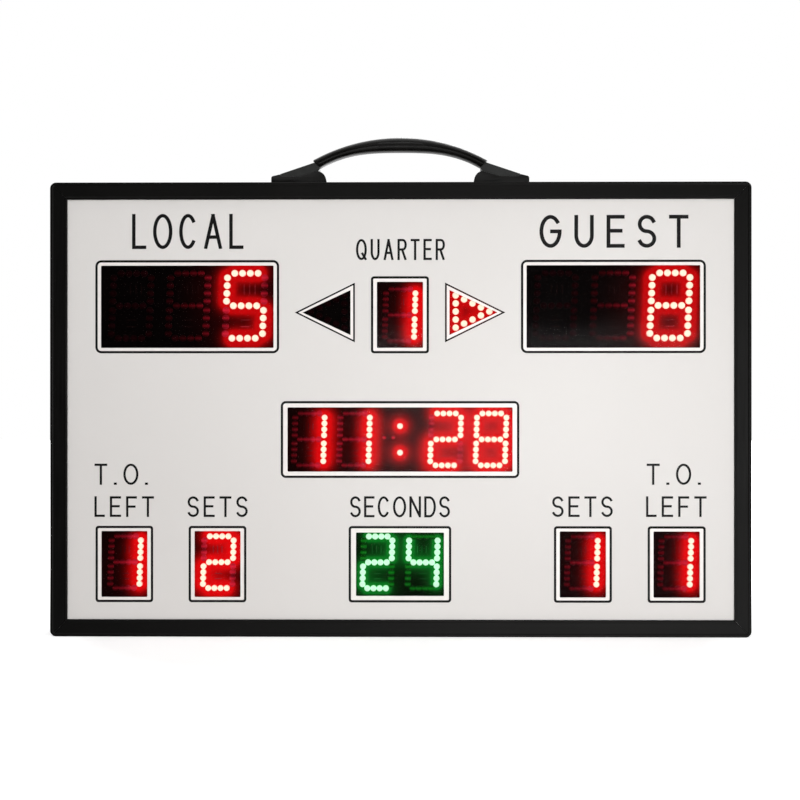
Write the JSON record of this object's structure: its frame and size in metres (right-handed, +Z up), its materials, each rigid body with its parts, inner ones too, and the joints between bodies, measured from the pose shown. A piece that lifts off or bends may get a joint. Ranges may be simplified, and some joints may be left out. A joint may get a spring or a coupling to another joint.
{
  "type": "electronic scoreboard",
  "caption": "Portable electronic scoreboard: LED digits behind a printed face in a black aluminium frame, with a carrying handle, fold-out legs, power inlet and rocker switch.",
  "frame": {"origin": "middle of the flat base, on the surface the board stands on", "axes": "+X to the right as seen from the front, +Y towards the back, +Z up; the face looks towards -Y"},
  "size_m": [0.7, 0.06, 0.5017],
  "materials": {
    "frame_black": "black anodised, satin",
    "key_metal": "mill",
    "face_print": "printed warm grey, glossy",
    "smoked_sheet": "smoked acrylic, polished",
    "led_board": "black solder mask with clear lamps",
    "carrier_metal": "mill",
    "back_panel": "fine texture powder coat",
    "logic_board": "green solder mask",
    "black_plastic": "moulded, satin",
    "ribbon_grey": "flat cable",
    "grip_black": "soft moulded, satin",
    "zinc_steel": "zinc plated",
    "black_rubber": "matt"
  },
  "bodies": {
    "board": {"rail_bottom": "frame_black", "rail_top": "frame_black", "rail_left": "frame_black", "rail_right": "frame_black", "corner_key_bottom_left": "key_metal", "corner_key_bottom_right": "key_metal", "corner_key_top_left": "key_metal", "corner_key_top_right": "key_metal", "face_panel": "face_print", "filter_sheet": "smoked_sheet", "led_board_period": "led_board", "led_board_clock": "led_board", "led_board_shot_clock": "led_board", "led_board_score_left": "led_board", "led_board_foul_left": "led_board", "led_board_timeout_left": "led_board", "led_board_score_right": "led_board", "led_board_foul_right": "led_board", "led_board_timeout_right": "led_board", "led_board_arrow_left": "led_board", "led_board_arrow_right": "led_board", "carrier_bar_upper": "carrier_metal", "carrier_bar_middle": "carrier_metal", "carrier_bar_lower": "carrier_metal", "back_panel": "back_panel", "main_board": "logic_board", "power_board": "logic_board", "buzzer": "black_plastic", "power_inlet": "black_plastic", "power_lead": "black_rubber", "ribbon_upper": "ribbon_grey", "ribbon_middle": "ribbon_grey", "ribbon_lower": "ribbon_grey", "switch_housing": "black_plastic", "panel_screw_left_1": "zinc_steel", "panel_screw_left_2": "zinc_steel", "panel_screw_left_3": "zinc_steel", "panel_screw_right_1": "zinc_steel", "panel_screw_right_2": "zinc_steel", "panel_screw_right_3": "zinc_steel", "handle_socket_right": "black_plastic", "handle_socket_left": "black_plastic", "handle_screw_right_1": "zinc_steel", "handle_screw_right_2": "zinc_steel", "handle_screw_left_1": "zinc_steel", "handle_screw_left_2": "zinc_steel", "leg_bracket_left": "zinc_steel", "leg_pin_left": "zinc_steel", "leg_bracket_right": "zinc_steel", "leg_pin_right": "zinc_steel"},
    "handle": {"handle_strap": "black_plastic", "handle_grip": "grip_black"},
    "rocker": {"switch_rocker": "black_plastic"},
    "leg_left": {"leg_left": "frame_black", "leg_tip_left": "black_rubber"},
    "leg_right": {"leg_right": "frame_black", "leg_tip_right": "black_rubber"}
  },
  "joints": [
    {"name": "handle_lift", "type": "slide", "parent": "board", "child": "handle", "axis": [0, 0, 1], "range_m": [0, 0.002]},
    {"name": "switch_rock", "type": "hinge", "parent": "board", "child": "rocker", "pos_m": [-0.075, 0.018, 0.118], "axis": [1, 0, 0], "range_deg": [0, 20]},
    {"name": "leg_left_swing", "type": "hinge", "parent": "board", "child": "leg_left", "pos_m": [-0.228, 0.0253, 0.214], "axis": [1, 0, 0], "range_deg": [0, 35]},
    {"name": "leg_right_swing", "type": "hinge", "parent": "board", "child": "leg_right", "pos_m": [0.228, 0.0253, 0.214], "axis": [1, 0, 0], "range_deg": [0, 35]}
  ]
}
